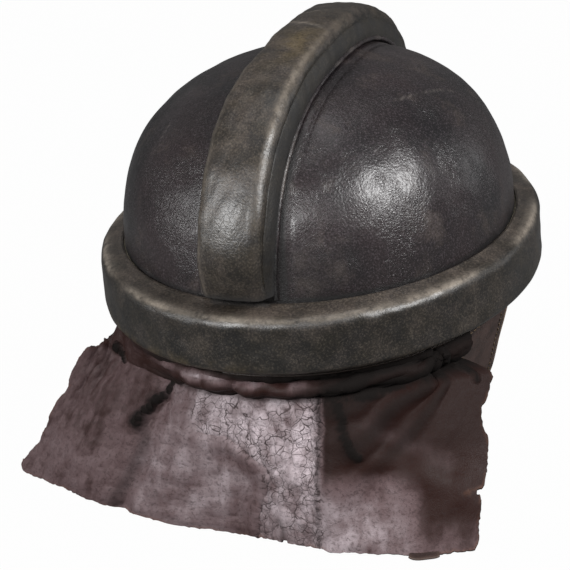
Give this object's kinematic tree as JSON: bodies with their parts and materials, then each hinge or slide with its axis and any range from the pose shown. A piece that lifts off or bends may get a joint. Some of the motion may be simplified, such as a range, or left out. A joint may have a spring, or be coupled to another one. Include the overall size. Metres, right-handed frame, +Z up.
{
  "type": "flight helmet",
  "caption": "Early leather aviator's crash helmet: a padded dome with a crest and a rim roll, a hanging neck guard, ear flaps and a buckled chin strap.",
  "frame": {"origin": "middle of the head opening, level with the shell's lower edge", "axes": "+Z up through the crown, +Y towards the nape, +X to the wearer's left"},
  "size_m": [0.282, 0.2838, 0.2423],
  "materials": {
    "black_leather": "crackled, softly glossy",
    "olive_leather": "worn, softly glossy",
    "brown_leather": "cracked, dull",
    "tan_leather": "aged, dull",
    "pale_felt": "felt",
    "grey_felt": "felt",
    "fibre": "pressed fibre, raw",
    "steel": "aged nickelled steel",
    "cotton": "woven lace"
  },
  "bodies": {
    "root": {"shell": "fibre", "dome_cover_left": "black_leather", "dome_cover_right": "black_leather", "crest_core": "grey_felt", "crest_cover": "olive_leather", "crest_welt_left": "black_leather", "crest_welt_right": "black_leather", "rim_core": "grey_felt", "rim_cover": "olive_leather", "rim_binding": "tan_leather", "felt_lining": "pale_felt", "crown_pad": "grey_felt", "brow_pad": "grey_felt", "nape_pad": "grey_felt", "temple_pad_left": "grey_felt", "temple_pad_right": "grey_felt", "sweatband": "tan_leather", "liner_leaf_1": "tan_leather", "liner_leaf_2": "tan_leather", "liner_leaf_3": "tan_leather", "liner_leaf_4": "tan_leather", "liner_leaf_5": "tan_leather", "liner_leaf_6": "tan_leather", "crown_lace": "cotton", "neck_guard_roll": "brown_leather"},
    "neck_guard": {"neck_guard": "brown_leather", "nape_strap": "brown_leather"},
    "ear_flap_left": {"ear_flap_left": "brown_leather", "strap_rivet_left": "steel"},
    "ear_flap_right": {"ear_flap_right": "brown_leather", "strap_rivet_right": "steel"},
    "chin_strap": {"chin_strap": "brown_leather"},
    "buckle_strap": {"buckle_strap": "brown_leather"},
    "strap_keeper": {"strap_keeper": "brown_leather"},
    "buckle_frame": {"buckle_frame": "steel"},
    "buckle_prong": {"buckle_prong": "steel"}
  },
  "joints": [
    {"name": "guard_fold", "type": "hinge", "parent": "root", "child": "neck_guard", "pos_m": [0, 0.1266, -0.0195], "axis": [1, 0, 0], "range_deg": [-3, 40]},
    {"name": "ear_flap_left_fold", "type": "hinge", "parent": "root", "child": "ear_flap_left", "pos_m": [0.106, 0.026, -0.00535], "axis": [0.1908, -0.9816, 0], "range_deg": [-20, 45]},
    {"name": "ear_flap_right_fold", "type": "hinge", "parent": "root", "child": "ear_flap_right", "pos_m": [-0.106, 0.026, -0.00535], "axis": [0.1908, 0.9816, 0], "range_deg": [-20, 95]},
    {"name": "chin_strap_swing", "type": "hinge", "parent": "ear_flap_right", "child": "chin_strap", "pos_m": [-0.0795, -0.01379, -0.07838], "axis": [-0.9036, 0.1756, -0.3907], "range_deg": [-25, 150]},
    {"name": "buckle_strap_swing", "type": "hinge", "parent": "ear_flap_left", "child": "buckle_strap", "pos_m": [0.0795, -0.01379, -0.07838], "axis": [-0.9036, -0.1756, 0.3907], "range_deg": [-5, 150]},
    {"name": "keeper_slide", "type": "slide", "parent": "buckle_strap", "child": "strap_keeper", "axis": [-0.2171, 0.974, -0.0642], "range_m": [-0.004, 0.01]},
    {"name": "frame_tilt", "type": "hinge", "parent": "buckle_strap", "child": "buckle_frame", "pos_m": [0.063, 0.06024, -0.08326], "axis": [0.3693, 0.1428, 0.9183], "range_deg": [-35, 35]},
    {"name": "prong_swing", "type": "hinge", "parent": "buckle_frame", "child": "buckle_prong", "pos_m": [0.063, 0.06024, -0.08326], "axis": [0.3693, 0.1428, 0.9183], "range_deg": [0, 70]}
  ]
}
